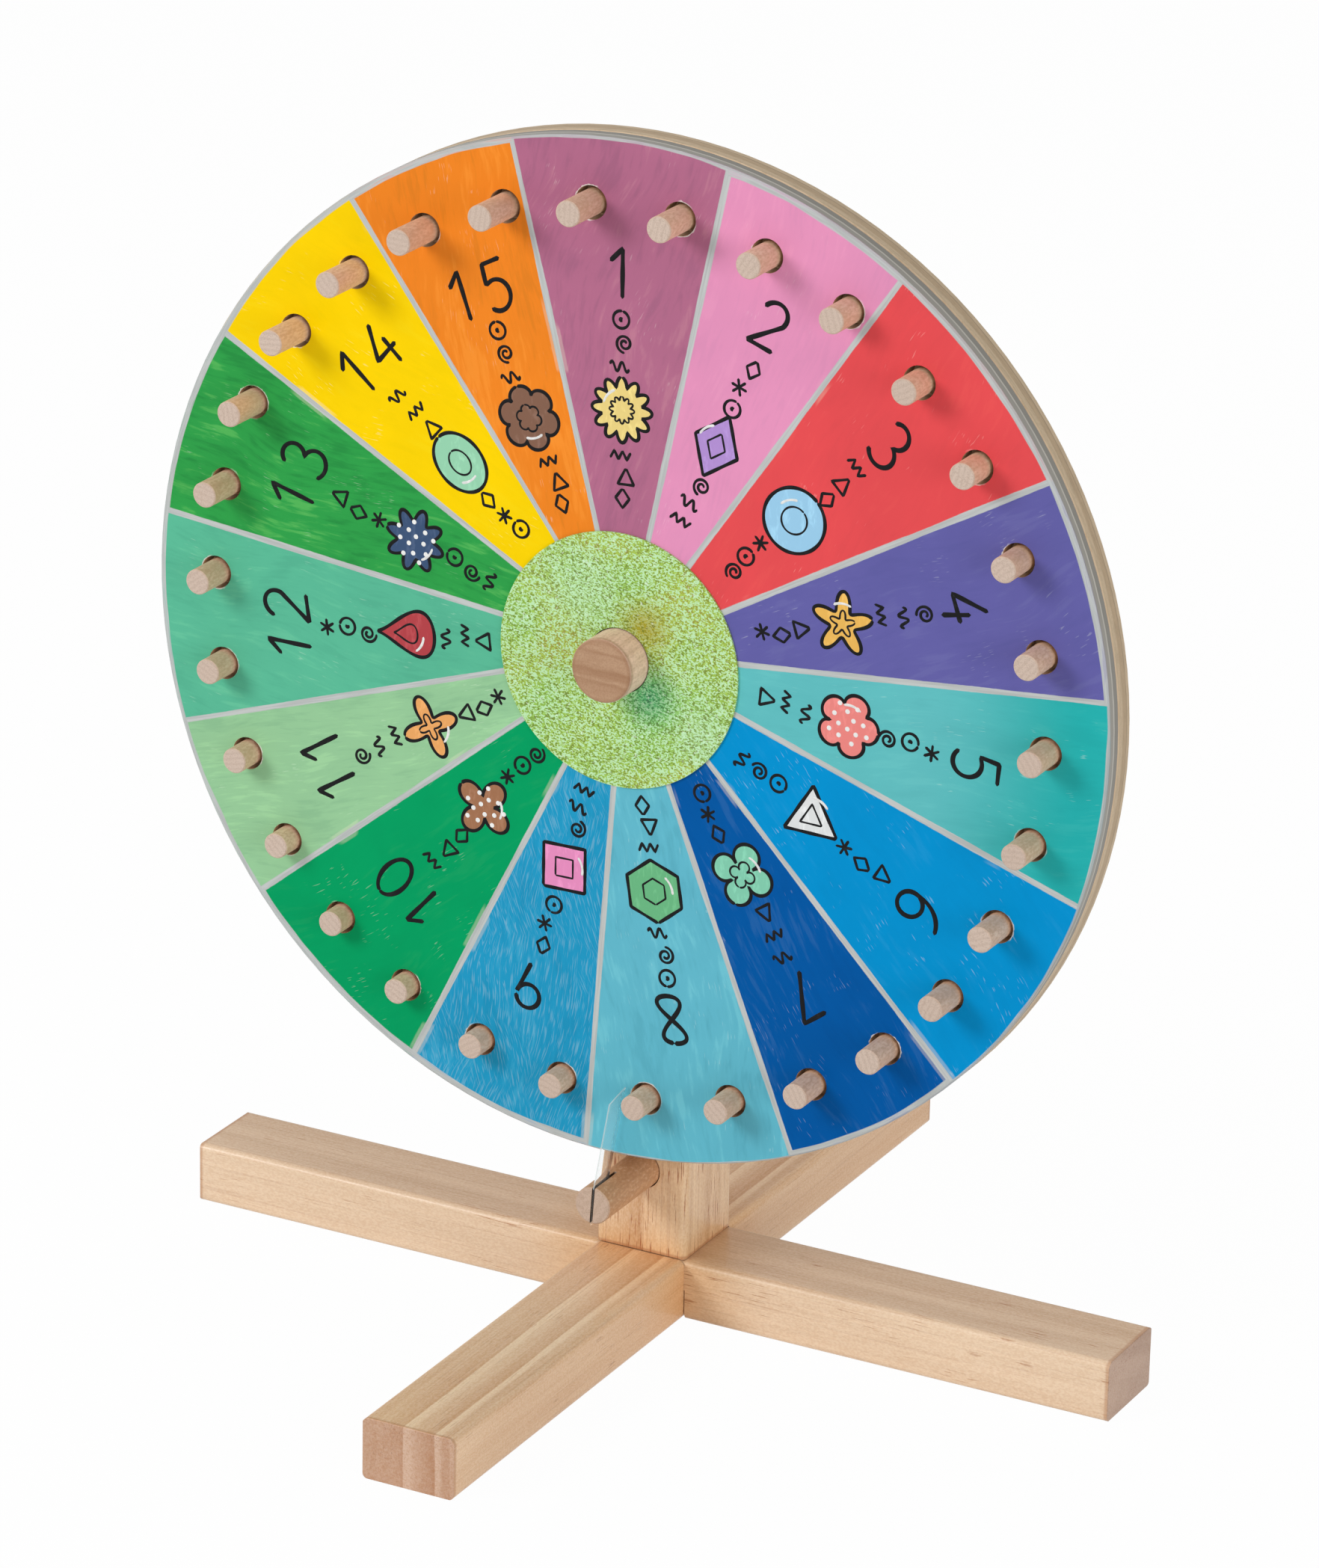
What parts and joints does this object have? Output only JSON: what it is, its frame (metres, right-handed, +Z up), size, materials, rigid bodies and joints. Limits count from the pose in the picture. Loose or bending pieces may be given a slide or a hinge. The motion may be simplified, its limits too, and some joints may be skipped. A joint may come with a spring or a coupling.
{
  "type": "table-top prize wheel",
  "caption": "Table-top prize wheel on a cross-shaped wooden stand: pegs standing through the painted disc click past a clear flapper until the wheel stops on a sector.",
  "frame": {"origin": "on the table, under the middle of the post", "axes": "+Z up, the wheel's painted face looks along -Y, +X is to the right seen from the front"},
  "size_m": [0.4, 0.4, 0.477],
  "materials": {
    "pine_long": "clear lacquered pine with strong bands",
    "pine_cross": "clear lacquered pine",
    "pine_post": "clear lacquered pine with reddish streaks",
    "plywood": "sanded plywood with its plies showing at the rim",
    "painted_disc": "hand-painted sectors between silver-grey lines",
    "glitter_card": "lime-green glitter",
    "beech": "plain sanded beech dowel",
    "knob_wood": "plain sanded hardwood dowel",
    "dowel_wood": "plain sanded dowel",
    "clear_plastic": "clear, slightly scuffed",
    "nylon": "plain nylon",
    "steel": "zinc-plated"
  },
  "bodies": {
    "stand": {"base_beam_long": "pine_long", "base_beam_cross": "pine_cross", "post": "pine_post", "post_screws": "steel", "pointer_dowel": "dowel_wood"},
    "wheel": {"axle": "knob_wood", "spacer_ring": "beech", "rear_washer": "nylon", "axle_pin": "beech", "back_disc": "plywood", "front_disc": "painted_disc", "hub_disc": "glitter_card", "peg_01": "beech", "peg_02": "beech", "peg_03": "beech", "peg_04": "beech", "peg_05": "beech", "peg_06": "beech", "peg_07": "beech", "peg_08": "beech", "peg_09": "beech", "peg_10": "beech", "peg_11": "beech", "peg_12": "beech", "peg_13": "beech", "peg_14": "beech", "peg_15": "beech", "peg_16": "beech", "peg_17": "beech", "peg_18": "beech", "peg_19": "beech", "peg_20": "beech", "peg_21": "beech", "peg_22": "beech", "peg_23": "beech", "peg_24": "beech", "peg_25": "beech", "peg_26": "beech", "peg_27": "beech", "peg_28": "beech", "peg_29": "beech", "peg_30": "beech"},
    "flapper": {"flapper": "clear_plastic"}
  },
  "joints": [
    {"name": "wheel_spin", "type": "hinge", "parent": "stand", "child": "wheel", "pos_m": [0, 0, 0.277], "axis": [0, -1, 0], "continuous": true},
    {"name": "flapper_flex", "type": "hinge", "parent": "stand", "child": "flapper", "pos_m": [0.00046, -0.0537, 0.06704], "axis": [0, 1, 0], "range_deg": [-52.5, 33.5], "stiffness_Nm_per_rad": 0.1, "deforming": ["flapper"]}
  ]
}
